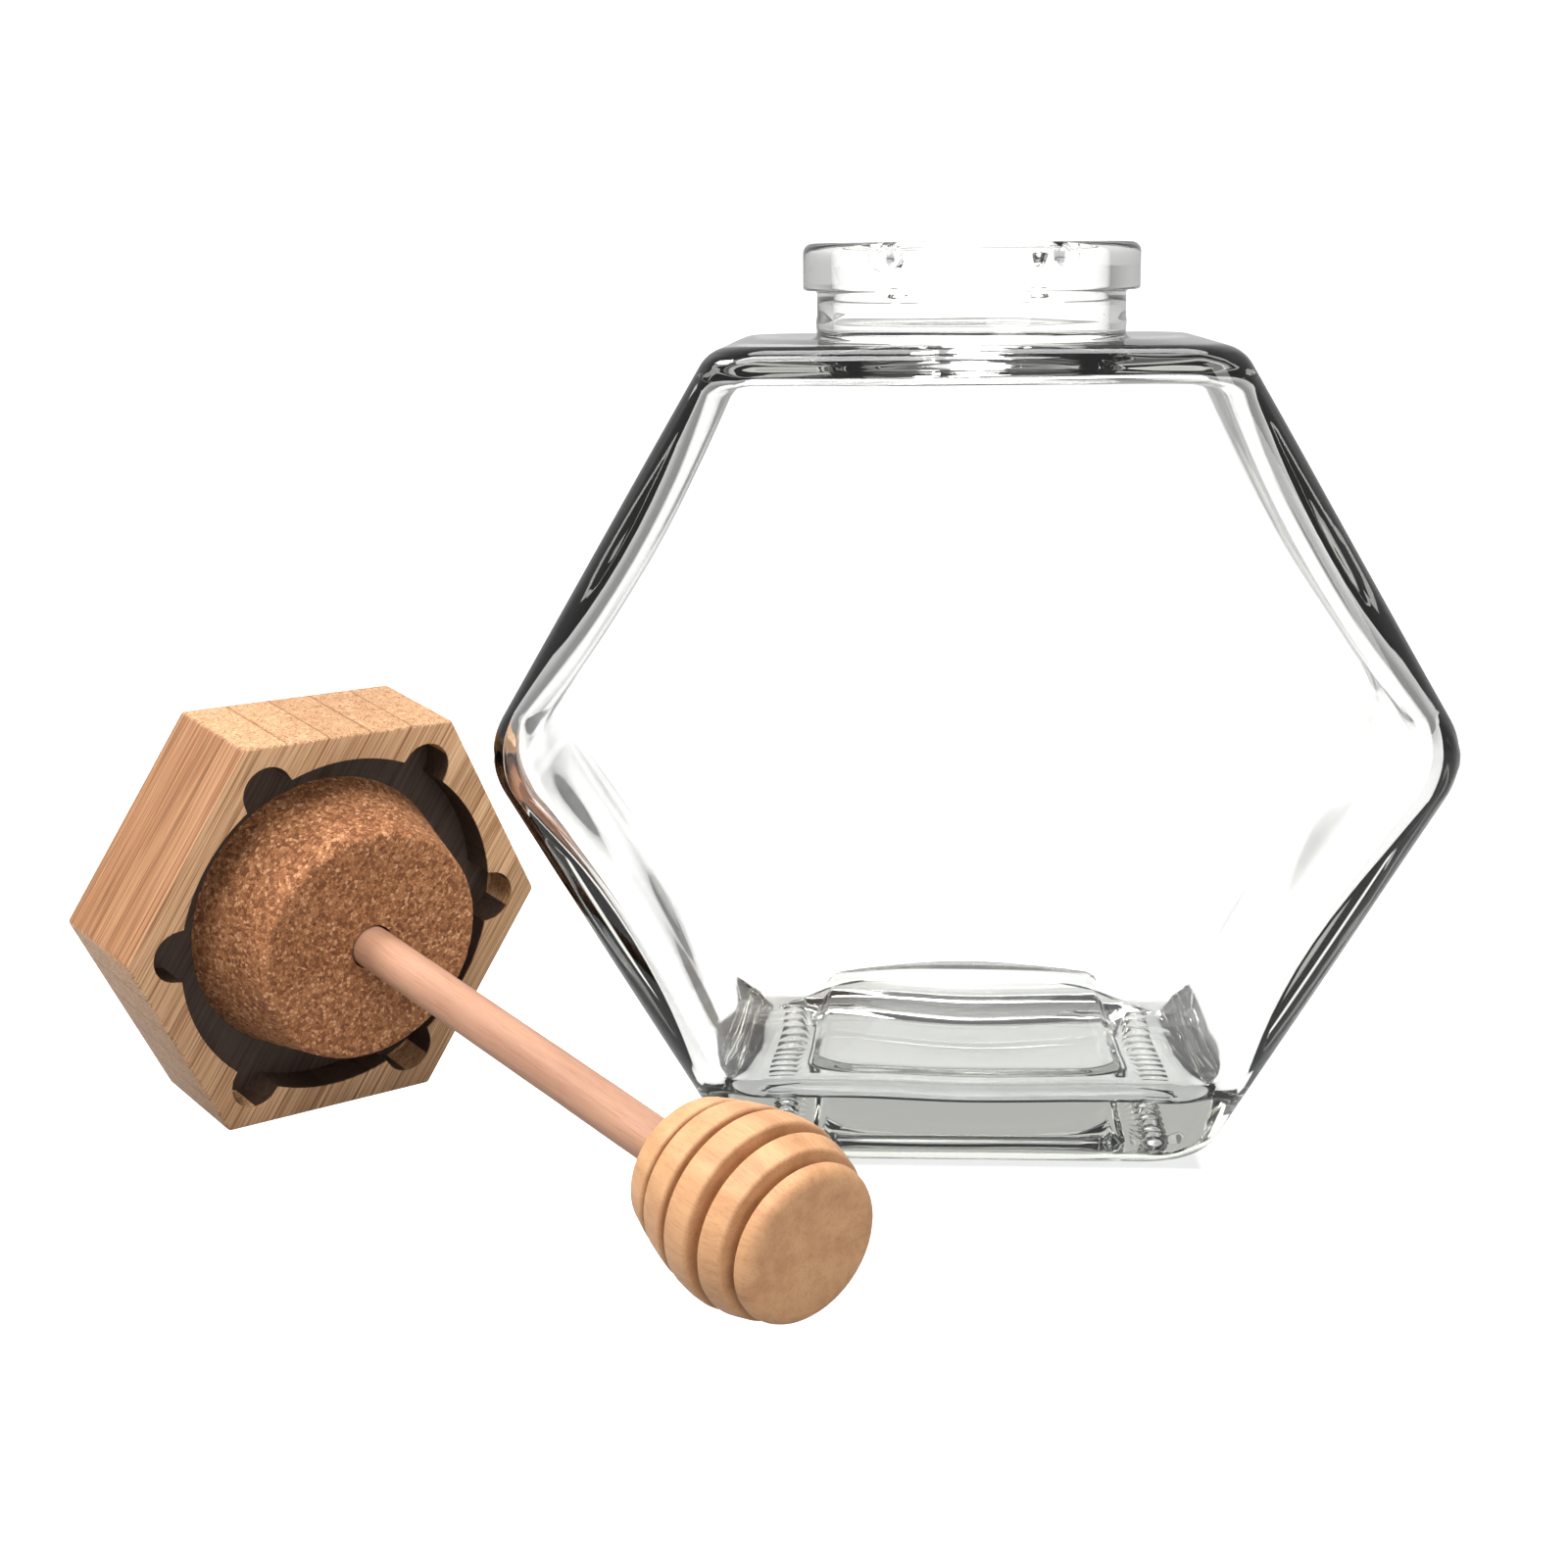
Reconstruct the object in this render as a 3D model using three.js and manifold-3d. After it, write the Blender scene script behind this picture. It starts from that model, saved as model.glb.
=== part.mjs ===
// A hexagonal glass honey jar, open, with its bamboo lid, tapered cork and honey dipper lying in front of it.
// Millimetres, +Z up. The jar stands on one flat side, its two hexagonal faces turned to -Y and +Y.
import * as THREE from "three";
import { mergeVertices } from "three/addons/utils/BufferGeometryUtils.js";
import Module from "manifold-3d";

const wasm = await Module();
wasm.setup();

// Body of the jar: half-widths of the hexagon at its foot, waist and top, and where the waist is
const FOOT_HALF = 28.4;
const WAIST_HALF = 58.4;
const WAIST_Z = 49.4;
const TOP_HALF = 30.3;
const BODY_HEIGHT = 97.3;
const BODY_DEPTH = 57.2;

// Rounding of the hexagon's own corners, of its front and back edges, and of the jar seen from above
const HEEL_RADIUS = 6.4;
const WAIST_RADIUS = 9;
const SHOULDER_RADIUS = 4.5;
const HEEL_DROP = 3.5;
const SHOULDER_DROP = 2.4;
const EDGE_RADIUS = 5.5;
const INNER_CORNER_RADIUS = 3.2;

// Glass: blown thin into the corners and thicker in the middle of each side
const CORNER_WALL = 2.3;
const SIDE_SWELL = 1.3;
const FACE_WALL = 3;
const CEILING_WALL = 3.4;
const FLOOR_Z = 6.4;
const PANEL_RISE = 1.4;
const PANEL_HALF = { x: 20, y: 18.5 };
const INNER_EDGE_RADIUS = 7;
const INNER_SHOULDER_DROP = 1.2;
const PUSH_UP = 1.3;
const PUSH_UP_HALF = { x: 20, y: 20 };

// Neck, its collar and the lip
const BORE_RADIUS = 17;
const NECK_RADIUS = 18.95;
const NECK_BEAD = 0.1;
const NECK_FILLET = 0.9;
const COLLAR_RADIUS = 20.65;
const COLLAR_FOOT_Z = 103.2;
const JAR_HEIGHT = 108.9;
const LIP_RADIUS = 1.2;
const LUG_ANGLES = [60, 120, 240, 300];
const LUG_RADIUS = 1.5;

// Ribs that the jar stands on, left and right of the push-up
const RIB_COUNT = 14;
const RIB_PITCH = 3.4;
const RIB_DEPTH = 0.35;
const RIB_X = 22.6;
const RIB_LENGTH = 3.6;

// Lid: a hexagonal bamboo block with a round recess and six scallops
const LID_RADIUS = 29.4;
const LID_THICKNESS = 15.8;
const RECESS_RADIUS = 22.2;
const RECESS_DEPTH = 5;
const SCALLOP_RADIUS = 3.4;
const SCALLOP_OUT = 22.4;

// Cork: glued in the recess and tapered to fit the bore
const CORK_BASE_RADIUS = 18.2;
const CORK_END_RADIUS = 15.2;
const CORK_REACH = 7.5;
const CORK_CHAMFER = 0.6;

// Dipper: a dowel and a turned barrel head with five rings, measured along the axis from the lid's underside
const ROD_RADIUS = 2.65;
const ROD_SUNK = 8;
const ROD_IN_HEAD = 9;
const HEAD_START = 71.8;
const RING_WIDTHS = [3.4, 3.9, 3.8, 2.9, 2];
const GROOVE_WIDTHS = [0.7, 1, 1.4, 1.2];
const HEAD_BACK_RADIUS = 7.9;
const HEAD_WIDEST_RADIUS = 10.75;
const HEAD_FRONT_RADIUS = 8.2;
const HEAD_WIDEST_SHARE = 0.58;
const GROOVE_DEPTH = 2.9;
const RING_ROUND = 0.45;
const HEAD_END_ROUND = 1.5;

// Where the lid lies: the middle of its resting edge, and the plan direction that its underside faces
const LID_EDGE = { x: -81.9, y: -8.6 };
const LID_HEADING = THREE.MathUtils.degToRad(-46.7);

// Clearance between neighbouring pieces, and how finely round shapes are cut
const GAP = 0.3;
const ARC_STEPS = 4;
const RING_EDGE_STEPS = 3;
const RING_CORNER_STEPS = 4;
const ROUND_SEGMENTS = 32;

function finish(color, roughness, extra = {}) {
  return new THREE.MeshStandardMaterial({ color, roughness, metalness: 0, ...extra });
}

function part(name, geometry, material) {
  const mesh = new THREE.Mesh(geometry, material);
  mesh.name = name;
  return mesh;
}

// Turns a lathed shape, made round three.js's Y axis, so that its axis is Z
function lathe(points, segments = ROUND_SEGMENTS) {
  const outline = points.map(([radius, z]) => new THREE.Vector2(radius, z));
  return new THREE.LatheGeometry(outline, segments).rotateX(Math.PI / 2);
}

function toSolid(geometry) {
  const bare = geometry.clone();
  bare.deleteAttribute("normal");
  bare.deleteAttribute("uv");
  const merged = mergeVertices(bare, 1e-4);
  const triVerts = new Uint32Array(merged.index.array);
  const vertProperties = new Float32Array(merged.attributes.position.array);
  return new wasm.Manifold(new wasm.Mesh({ numProp: 3, vertProperties, triVerts }));
}

function toGeometry(solid) {
  const mesh = solid.getMesh();
  const geometry = new THREE.BufferGeometry();
  geometry.setAttribute("position", new THREE.BufferAttribute(mesh.vertProperties, 3));
  geometry.setIndex(new THREE.BufferAttribute(mesh.triVerts, 1));
  geometry.computeVertexNormals();
  return geometry;
}

function joinAll(base, pieces) {
  return pieces.reduce((solid, piece) => solid.add(toSolid(piece)), toSolid(base));
}

function cutAll(solid, pieces) {
  return pieces.reduce((rest, piece) => rest.subtract(toSolid(piece)), solid);
}

// The points of an arc of the given radius that rounds the corner between two others
function roundedCorner(before, corner, after, radius) {
  const back = before.clone().sub(corner).normalize();
  const on = after.clone().sub(corner).normalize();
  const half = back.angleTo(on) / 2;
  const middle = back.clone().add(on).normalize();
  const centre = corner.clone().addScaledVector(middle, radius / Math.sin(half));
  const start = corner.clone().addScaledVector(back, radius / Math.tan(half)).sub(centre);
  const end = corner.clone().addScaledVector(on, radius / Math.tan(half)).sub(centre);
  const sweep = start.angleTo(end) * Math.sign(start.cross(end));
  return Array.from({ length: ARC_STEPS + 1 }, (_, i) =>
    start.clone().rotateAround(new THREE.Vector2(), (sweep * i) / ARC_STEPS).add(centre),
  );
}

// The hexagon's right-hand side from foot to top, moved in by a wall, as points of half-width and height
function sideCorners(wall, floor, ceiling) {
  const lower = (WAIST_HALF - FOOT_HALF) / WAIST_Z;
  const upper = (WAIST_HALF - TOP_HALF) / (BODY_HEIGHT - WAIST_Z);
  const lowerStart = FOOT_HALF - wall * Math.hypot(1, lower);
  const upperStart = WAIST_HALF + WAIST_Z * upper - wall * Math.hypot(1, upper);
  const waist = (upperStart - lowerStart) / (lower + upper);
  return [
    new THREE.Vector2(lowerStart + floor * lower, floor),
    new THREE.Vector2(lowerStart + waist * lower, waist),
    new THREE.Vector2(upperStart - ceiling * upper, ceiling),
  ];
}

// Half the depth at a height, drawn in by a round at the foot and at the shoulder
function halfDepth(z, half, foot, top, footDrop, topDrop) {
  const low = Math.max(0, footDrop - (z - foot));
  const high = Math.max(0, topDrop - (top - z));
  const inset = (drop, used) => drop - Math.sqrt(drop * drop - used * used);
  return half - inset(footDrop, Math.min(low, footDrop)) - inset(topDrop, Math.min(high, topDrop));
}

// A round ring, and a ring of the jar's body: a rectangle with rounded corners
const roundRow = (radius, z) => ({ round: true, x: radius, y: radius, corner: radius, z });
const boxRow = (x, y, corner, z) => ({ round: false, x, y, corner: Math.min(corner, x, y), z });

// One corner point of a ring: each quarter has a straight stretch, an arc and a straight stretch
const QUARTER = 2 * RING_EDGE_STEPS + RING_CORNER_STEPS;
const STRAIGHT_ANGLE = THREE.MathUtils.degToRad(33);

function ringPoint(row, column) {
  const quarter = Math.floor(column / QUARTER) % 4;
  const step = column % QUARTER;
  const [first, second] = quarter % 2 ? [row.x, row.y] : [row.y, row.x];
  const arc = (step - RING_EDGE_STEPS) / RING_CORNER_STEPS;
  let along = first;
  let across = 0;
  if (row.round) {
    const rightAngle = Math.PI / 2;
    const early = (STRAIGHT_ANGLE * step) / RING_EDGE_STEPS;
    const late = rightAngle - (STRAIGHT_ANGLE * (QUARTER - step)) / RING_EDGE_STEPS;
    const within = STRAIGHT_ANGLE + (rightAngle - 2 * STRAIGHT_ANGLE) * arc;
    const angle = arc < 0 ? early : arc > 1 ? late : within;
    along = row.x * Math.cos(angle);
    across = row.x * Math.sin(angle);
  } else if (arc < 0) {
    across = ((second - row.corner) * step) / RING_EDGE_STEPS;
  } else if (arc > 1) {
    along = ((first - row.corner) * (QUARTER - step)) / RING_EDGE_STEPS;
    across = second;
  } else {
    along = first - row.corner + row.corner * Math.cos((arc * Math.PI) / 2);
    across = second - row.corner + row.corner * Math.sin((arc * Math.PI) / 2);
  }
  return new THREE.Vector2(along, across).rotateAround(new THREE.Vector2(), ((quarter - 1) * Math.PI) / 2);
}

// Lathes one column of points and then moves each ring to its own outline
function loft(rows) {
  const geometry = lathe(rows.map((row) => [row.x, row.z]), 4 * QUARTER);
  const position = geometry.getAttribute("position");
  for (let i = 0; i < position.count; i++) {
    const row = rows[i % rows.length];
    const point = ringPoint(row, Math.floor(i / rows.length));
    position.setXYZ(i, point.x, point.y, row.z);
  }
  return geometry;
}

function outerRows() {
  const [foot, waist, top] = sideCorners(0, 0, BODY_HEIGHT);
  const axisFoot = new THREE.Vector2(0, 0);
  const axisTop = new THREE.Vector2(0, BODY_HEIGHT);
  const outline = [
    ...roundedCorner(axisFoot, foot, waist, HEEL_RADIUS),
    foot.clone().lerp(waist, HEEL_DROP / WAIST_Z),
    ...roundedCorner(foot, waist, top, WAIST_RADIUS),
    top.clone().lerp(waist, SHOULDER_DROP / (BODY_HEIGHT - WAIST_Z)),
    ...roundedCorner(waist, top, axisTop, SHOULDER_RADIUS),
  ];
  const depthAt = (z) => halfDepth(z, BODY_DEPTH / 2, 0, BODY_HEIGHT, HEEL_DROP, SHOULDER_DROP);
  return [
    boxRow(0, 0, 0, PUSH_UP),
    boxRow(PUSH_UP_HALF.x - PUSH_UP, PUSH_UP_HALF.y - PUSH_UP, EDGE_RADIUS, PUSH_UP),
    boxRow(PUSH_UP_HALF.x, PUSH_UP_HALF.y, EDGE_RADIUS, 0),
    ...outline.map((point) => boxRow(point.x, depthAt(point.y), EDGE_RADIUS, point.y)),
  ];
}

function neckRows() {
  const lip = Array.from({ length: ARC_STEPS + 1 }, (_, i) => (i * Math.PI) / (2 * ARC_STEPS));
  const lipZ = JAR_HEIGHT - LIP_RADIUS;
  return [
    roundRow(NECK_RADIUS + NECK_FILLET, BODY_HEIGHT),
    roundRow(NECK_RADIUS + NECK_BEAD, BODY_HEIGHT + NECK_FILLET),
    roundRow(NECK_RADIUS + NECK_BEAD, BODY_HEIGHT + 2.4),
    roundRow(NECK_RADIUS, BODY_HEIGHT + 3),
    roundRow(NECK_RADIUS, COLLAR_FOOT_Z),
    roundRow(COLLAR_RADIUS - 0.3, COLLAR_FOOT_Z),
    roundRow(COLLAR_RADIUS, COLLAR_FOOT_Z + 0.3),
    ...lip.map((a) => roundRow(COLLAR_RADIUS - LIP_RADIUS * (1 - Math.cos(a)), lipZ + LIP_RADIUS * Math.sin(a))),
    ...lip.map((a) => roundRow(BORE_RADIUS + LIP_RADIUS * (1 - Math.sin(a)), lipZ + LIP_RADIUS * Math.cos(a))),
  ];
}

// The inner wall swells between the corners, so its half-width is pulled in by a half wave along each side
function innerRows() {
  const ceiling = BODY_HEIGHT - CEILING_WALL;
  const [foot, waist, top] = sideCorners(CORNER_WALL, FLOOR_Z, ceiling);
  const swelling = (from, to, steps) =>
    Array.from({ length: steps - 1 }, (_, i) => {
      const share = (i + 1) / steps;
      const point = from.clone().lerp(to, share);
      point.x -= SIDE_SWELL * Math.sin(Math.PI * share);
      return point;
    });
  const shoulder = roundedCorner(new THREE.Vector2(0, ceiling), top, waist, SHOULDER_RADIUS);
  const belly = roundedCorner(top, waist, foot, WAIST_RADIUS);
  const heel = roundedCorner(waist, foot, new THREE.Vector2(0, FLOOR_Z), INNER_EDGE_RADIUS);
  const outline = [
    ...shoulder,
    ...swelling(shoulder.at(-1), belly[0], 6),
    ...belly,
    ...swelling(belly.at(-1), heel[0], 6),
    ...heel,
  ];
  const half = BODY_DEPTH / 2 - FACE_WALL;
  const depthAt = (z) => halfDepth(z, half, FLOOR_Z, ceiling, INNER_EDGE_RADIUS, INNER_SHOULDER_DROP);
  return [
    roundRow(BORE_RADIUS, BODY_HEIGHT + 1),
    roundRow(BORE_RADIUS + 0.3, BODY_HEIGHT - 1.8),
    roundRow(BORE_RADIUS + 1.3, ceiling + 0.2),
    ...outline.map((point) => boxRow(point.x, depthAt(point.y), INNER_CORNER_RADIUS, point.y)),
    boxRow(PANEL_HALF.x, PANEL_HALF.y, EDGE_RADIUS, FLOOR_Z),
    boxRow(PANEL_HALF.x - PANEL_RISE, PANEL_HALF.y - PANEL_RISE, EDGE_RADIUS, FLOOR_Z + PANEL_RISE),
    boxRow(0, 0, 0, FLOOR_Z + PANEL_RISE),
  ];
}

function lug(degrees) {
  const angle = THREE.MathUtils.degToRad(degrees);
  const ball = new THREE.SphereGeometry(LUG_RADIUS, 12, 8);
  return ball.translate(COLLAR_RADIUS * Math.cos(angle), COLLAR_RADIUS * Math.sin(angle), JAR_HEIGHT - LUG_RADIUS);
}

function rib(index, side) {
  const y = (index - (RIB_COUNT - 1) / 2) * RIB_PITCH;
  const groove = new THREE.CylinderGeometry(2 * RIB_DEPTH, 2 * RIB_DEPTH, RIB_LENGTH, 8);
  return groove.rotateZ(Math.PI / 2).translate(side * RIB_X, y, -RIB_DEPTH);
}

function glassJar() {
  const shell = loft([...outerRows(), ...neckRows(), ...innerRows()]);
  const lugs = LUG_ANGLES.map((degrees) => lug(degrees));
  const ribs = [-1, 1].flatMap((side) => Array.from({ length: RIB_COUNT }, (_, i) => rib(i, side)));
  const glass = finish(0xdfe6e2, 0.04, { transparent: true, opacity: 0.35 });
  return part("glass_jar", toGeometry(cutAll(joinAll(shell, lugs), ribs)), glass);
}

// The lid assembly is made as it sits on a jar: the lid's underside at z = 0 and the dipper pointing down
function extrudeUp(shape, height, curveSegments = 12) {
  return new THREE.ExtrudeGeometry(shape, { depth: height, bevelEnabled: false, curveSegments });
}

function circleAt(x, y, radius) {
  const shape = new THREE.Shape();
  shape.absarc(x, y, radius, 0, 2 * Math.PI);
  return shape;
}

function bambooLid() {
  const corners = Array.from({ length: 6 }, (_, i) =>
    new THREE.Vector2(LID_RADIUS, 0).rotateAround(new THREE.Vector2(), (i * Math.PI) / 3),
  );
  const block = toSolid(extrudeUp(new THREE.Shape(corners), LID_THICKNESS));
  const recess = extrudeUp(circleAt(0, 0, RECESS_RADIUS), 2 * RECESS_DEPTH, 48);
  const scallops = corners.map((corner) => {
    const centre = corner.clone().setLength(SCALLOP_OUT);
    return extrudeUp(circleAt(centre.x, centre.y, SCALLOP_RADIUS), 2 * RECESS_DEPTH, 20);
  });
  const cutters = [recess, ...scallops].map((cutter) => cutter.translate(0, 0, -RECESS_DEPTH));
  return part("bamboo_lid", toGeometry(cutAll(block, cutters)), finish(0xcf9d6c, 0.6));
}

function corkStopper() {
  const top = RECESS_DEPTH - GAP;
  const hole = ROD_RADIUS + GAP;
  const profile = [
    [0, ROD_SUNK - CORK_REACH + GAP],
    [hole, ROD_SUNK - CORK_REACH + GAP],
    [hole, -CORK_REACH],
    [CORK_END_RADIUS - CORK_CHAMFER, -CORK_REACH],
    [CORK_END_RADIUS, -CORK_REACH + CORK_CHAMFER],
    [CORK_BASE_RADIUS, top],
    [0, top],
  ];
  return part("cork_stopper", lathe(profile, 40), finish(0xa97450, 0.9));
}

function dipperRod() {
  const top = ROD_SUNK - CORK_REACH;
  const end = -HEAD_START - ROD_IN_HEAD;
  const profile = [
    [0, end],
    [ROD_RADIUS, end],
    [ROD_RADIUS, top],
    [0, top],
  ];
  return part("dipper_rod", lathe(profile, 24), finish(0xd6a584, 0.6));
}

const sum = (values) => values.reduce((total, value) => total + value, 0);
const HEAD_LENGTH = sum(RING_WIDTHS) + sum(GROOVE_WIDTHS);

// The barrel's radius at a distance from the back of the head: it is widest a little past its middle
function barrelRadius(along) {
  const share = along / HEAD_LENGTH;
  const back = share < HEAD_WIDEST_SHARE;
  const end = back ? HEAD_BACK_RADIUS : HEAD_FRONT_RADIUS;
  const reach = back ? HEAD_WIDEST_SHARE : 1 - HEAD_WIDEST_SHARE;
  const away = Math.abs(share - HEAD_WIDEST_SHARE) / reach;
  return HEAD_WIDEST_RADIUS - (HEAD_WIDEST_RADIUS - end) * Math.pow(away, 1.6);
}

// The head's outline as distance along the axis and radius: rounded rings parted by narrow grooves
function headOutline() {
  const outline = [];
  let start = 0;
  RING_WIDTHS.forEach((ring, i) => {
    const end = start + ring;
    const last = i === RING_WIDTHS.length - 1;
    const round = last ? HEAD_END_ROUND : RING_ROUND;
    const startRadius = barrelRadius(start + RING_ROUND);
    const endRadius = barrelRadius(end - round);
    outline.push([start, startRadius - RING_ROUND], [start + 0.3 * RING_ROUND, startRadius - 0.3 * RING_ROUND]);
    outline.push([start + RING_ROUND, startRadius], [end - round, endRadius]);
    outline.push([end - 0.3 * round, endRadius - 0.3 * round], [end, endRadius - round]);
    if (!last) {
      const bottom = barrelRadius(end + GROOVE_WIDTHS[i] / 2) - GROOVE_DEPTH;
      start = end + GROOVE_WIDTHS[i];
      outline.push([end, bottom], [start, bottom]);
    }
  });
  return outline.map(([along, radius]) => [HEAD_START + along, radius]);
}

function dipperHead() {
  const hole = ROD_RADIUS + GAP;
  const holeEnd = HEAD_START + ROD_IN_HEAD + GAP;
  const outline = [...headOutline().reverse(), [HEAD_START, hole], [holeEnd, hole], [holeEnd, 0]];
  const profile = [[HEAD_START + HEAD_LENGTH, 0], ...outline].map(([along, radius]) => [radius, -along]);
  return part("dipper_head", lathe(profile, ROUND_SEGMENTS), finish(0xdba675, 0.6));
}

// The assembly lies on the lid's lower front edge and on the dipper's widest ring, which settles its slope
function restingSlope() {
  const edge = LID_RADIUS * Math.cos(Math.PI / 6);
  return Math.min(...headOutline().map(([along, radius]) => Math.atan2(edge - radius, along)));
}

function lidAssembly() {
  const slope = restingSlope();
  const edge = LID_RADIUS * Math.cos(Math.PI / 6);
  const assembly = new THREE.Group();
  assembly.add(bambooLid(), corkStopper(), dipperRod(), dipperHead());
  assembly.rotation.set(Math.PI / 2 - slope, 0, LID_HEADING - Math.PI / 2, "ZYX");
  assembly.position.set(
    LID_EDGE.x + edge * Math.sin(slope) * Math.cos(LID_HEADING),
    LID_EDGE.y + edge * Math.sin(slope) * Math.sin(LID_HEADING),
    edge * Math.cos(slope),
  );
  return assembly;
}

// The origin is under the middle of the whole, on the surface that it stands on
const honeyJar = new THREE.Group();
honeyJar.add(glassJar(), lidAssembly());
honeyJar.updateMatrixWorld(true);
const bounds = new THREE.Box3().setFromObject(honeyJar, true);
const centre = bounds.getCenter(new THREE.Vector3());
honeyJar.children.forEach((piece) => piece.position.sub(new THREE.Vector3(centre.x, centre.y, bounds.min.z)));

export default honeyJar;
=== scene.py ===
# %% [markdown]
# A honey jar of clear glass stands open, and its lid lies in front of it: a block of bamboo with a cork in
# its recess, and a wooden honey dipper stuck in the cork.
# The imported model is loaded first. It says where every piece is, and the cells below model each piece again,
# with finer curves and its own finish, over the solid that it stands for.

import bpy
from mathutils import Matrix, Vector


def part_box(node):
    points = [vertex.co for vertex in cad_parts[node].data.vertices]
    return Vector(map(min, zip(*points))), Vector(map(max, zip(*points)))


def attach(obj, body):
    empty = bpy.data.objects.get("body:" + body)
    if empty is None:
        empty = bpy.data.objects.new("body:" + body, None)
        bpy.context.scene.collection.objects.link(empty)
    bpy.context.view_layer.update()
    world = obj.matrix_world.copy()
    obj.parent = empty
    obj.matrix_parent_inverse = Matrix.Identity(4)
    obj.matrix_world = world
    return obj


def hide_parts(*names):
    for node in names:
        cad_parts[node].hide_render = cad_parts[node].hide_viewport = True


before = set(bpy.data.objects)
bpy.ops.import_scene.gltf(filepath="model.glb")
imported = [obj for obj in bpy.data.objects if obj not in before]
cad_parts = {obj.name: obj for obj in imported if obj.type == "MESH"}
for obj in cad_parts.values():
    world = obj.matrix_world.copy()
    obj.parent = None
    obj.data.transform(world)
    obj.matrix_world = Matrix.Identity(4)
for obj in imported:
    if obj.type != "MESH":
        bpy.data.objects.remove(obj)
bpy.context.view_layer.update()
print("nodes of the frame:", sorted(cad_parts))

# %% Libraries and units
import math
from collections import namedtuple

import bmesh
import bpy
from mathutils import Euler, Matrix, Vector, noise

MM = 0.001  # sizes below are in millimetres, and Blender's unit is the metre

# %% [markdown]
# ## Where the jar and the lid are
# A piece's object stays at the origin and its place goes into its mesh, so two matrices do the placing. The
# first stands on the table under the middle of the jar. The second lies in the lid: its underside is the
# plane z = 0, and the dipper points down from it, as it would hang in a closed jar.
# The lid lies on one of its edges and on the dipper's widest ring, so its slope follows from the two radii.

# %% The jar's own frame
jar_low, jar_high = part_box("glass_jar")
jar_middle = Vector(((jar_low.x + jar_high.x) / 2, (jar_low.y + jar_high.y) / 2, 0))
jar_to_row = Matrix.Translation(jar_middle) @ Matrix.Scale(MM, 4)
print("middle of the jar, mm:", [round(c / MM, 2) for c in jar_middle])

# %% Sizes of the lid and of the dipper
LID_RADIUS = 29.4
LID_THICKNESS = 15.8
LID_FLAT = LID_RADIUS * math.cos(math.radians(30))  # half of its width over two flats

HEAD_START = 71.8  # from the lid's underside to the back of the head
RING_WIDTHS = (3.4, 3.9, 3.8, 2.9, 2)
GROOVE_WIDTHS = (0.7, 1, 1.4, 1.2)
HEAD_LENGTH = sum(RING_WIDTHS) + sum(GROOVE_WIDTHS)
HEAD_BACK_RADIUS = 7.9
HEAD_WIDEST_RADIUS = 10.75
HEAD_FRONT_RADIUS = 8.2
HEAD_WIDEST_SHARE = 0.58
HEAD_FULLNESS = 1.6  # how long the barrel keeps its width towards its ends
GROOVE_DEPTH = 2.9
GROOVE_FILLET = 0.25
RING_ROUND = 0.45
HEAD_END_ROUND = 1.5


# %% The dipper head's outline
def barrel_radius(along):
    """The barrel's radius at a distance from its back: it is widest a little past its middle."""
    share = along / HEAD_LENGTH
    back = share < HEAD_WIDEST_SHARE
    end = HEAD_BACK_RADIUS if back else HEAD_FRONT_RADIUS
    reach = HEAD_WIDEST_SHARE if back else 1 - HEAD_WIDEST_SHARE
    away = abs(share - HEAD_WIDEST_SHARE) / reach
    return HEAD_WIDEST_RADIUS - (HEAD_WIDEST_RADIUS - end) * away**HEAD_FULLNESS


def quarter_round(along, radius, size, leading, steps):
    """Points of a rounded arris, as distance along the axis and radius, in the order of the distance."""
    points = []
    for i in range(steps + 1):
        turn = math.pi / 2 * i / steps
        if leading:
            points.append((along + size - size * math.cos(turn), radius - size + size * math.sin(turn)))
        else:
            points.append((along - size + size * math.sin(turn), radius - size + size * math.cos(turn)))
    return points


def head_outline():
    """Distance along the axis and radius, from the back ring to the front face."""
    outline = []
    start = 0
    for i, ring in enumerate(RING_WIDTHS):
        end = start + ring
        last = i == len(RING_WIDTHS) - 1
        end_round = HEAD_END_ROUND if last else RING_ROUND
        crest = [start + RING_ROUND + (ring - RING_ROUND - end_round) * j / 3 for j in (1, 2)]
        outline += quarter_round(start, barrel_radius(start + RING_ROUND), RING_ROUND, True, 3)
        outline += [(along, barrel_radius(along)) for along in crest]
        outline += quarter_round(end, barrel_radius(end - end_round), end_round, False, 5)
        if not last:
            groove = GROOVE_WIDTHS[i]
            start = end + groove
            bottom = barrel_radius(end + groove / 2) - GROOVE_DEPTH
            outline += [(end, bottom + GROOVE_FILLET), (end + GROOVE_FILLET, bottom)]
            outline += [(start - GROOVE_FILLET, bottom), (start, bottom + GROOVE_FILLET)]
    return [(HEAD_START + along, radius) for along, radius in outline]


# %% The lid's own frame
LID_EDGE = Vector((-81.9, -8.6, 0))  # middle of the edge that the lid lies on, from the middle of the jar
LID_HEADING = math.radians(-46.7)  # direction in plan that the dipper points to

lid_slope = min(math.atan2(LID_FLAT - radius, along) for along, radius in head_outline())
lid_facing = Vector((math.cos(LID_HEADING), math.sin(LID_HEADING), 0))
lid_rise = Vector((0, 0, LID_FLAT * math.cos(lid_slope)))
lid_origin = LID_EDGE + lid_facing * (LID_FLAT * math.sin(lid_slope)) + lid_rise
lid_turn = Euler((math.pi / 2 - lid_slope, 0, LID_HEADING - math.pi / 2))
lid_place = jar_middle + lid_origin * MM
lid_to_row = Matrix.Translation(lid_place) @ lid_turn.to_matrix().to_4x4() @ Matrix.Scale(MM, 4)
print("slope of the lid, degrees:", round(math.degrees(lid_slope), 2))

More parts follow.
